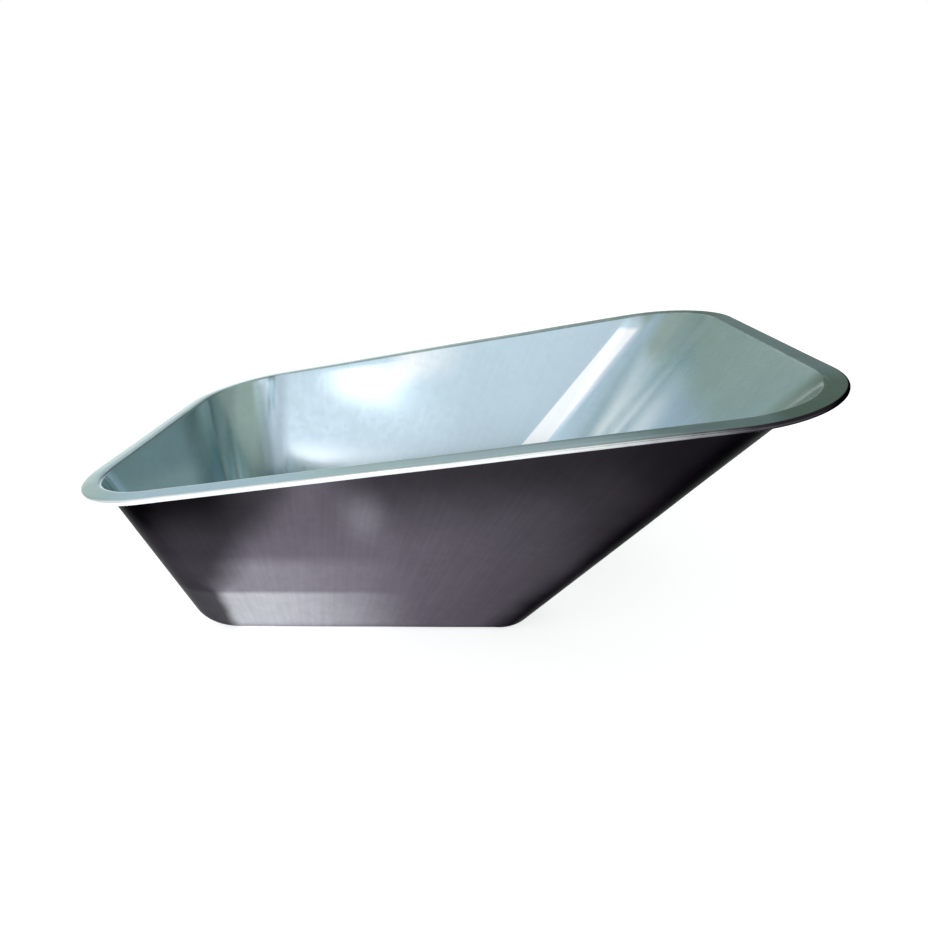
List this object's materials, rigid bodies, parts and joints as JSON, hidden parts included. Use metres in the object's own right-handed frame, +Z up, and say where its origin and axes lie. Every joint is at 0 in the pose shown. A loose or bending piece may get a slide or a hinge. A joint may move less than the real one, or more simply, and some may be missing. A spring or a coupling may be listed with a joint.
{
  "type": "wheelbarrow tray",
  "caption": "Loose wheelbarrow tray pressed from galvanised sheet steel: flat floor, steep back, long sloped front, drooping flange and wired edge.",
  "frame": {"origin": "bottom centre of the whole tray's box, level with the underside of the floor", "axes": "+X towards the long sloped front, where the wheel goes; +Y towards the left side; +Z up out of the mouth"},
  "size_m": [0.8822, 0.5982, 0.396],
  "materials": {
    "galvanised_sheet": "satin zinc coating with a faint spangle",
    "edge_wire": "bright drawn steel wire"
  },
  "bodies": {
    "root": {"tray_pan": "galvanised_sheet", "rim_wire": "edge_wire"}
  },
  "joints": []
}
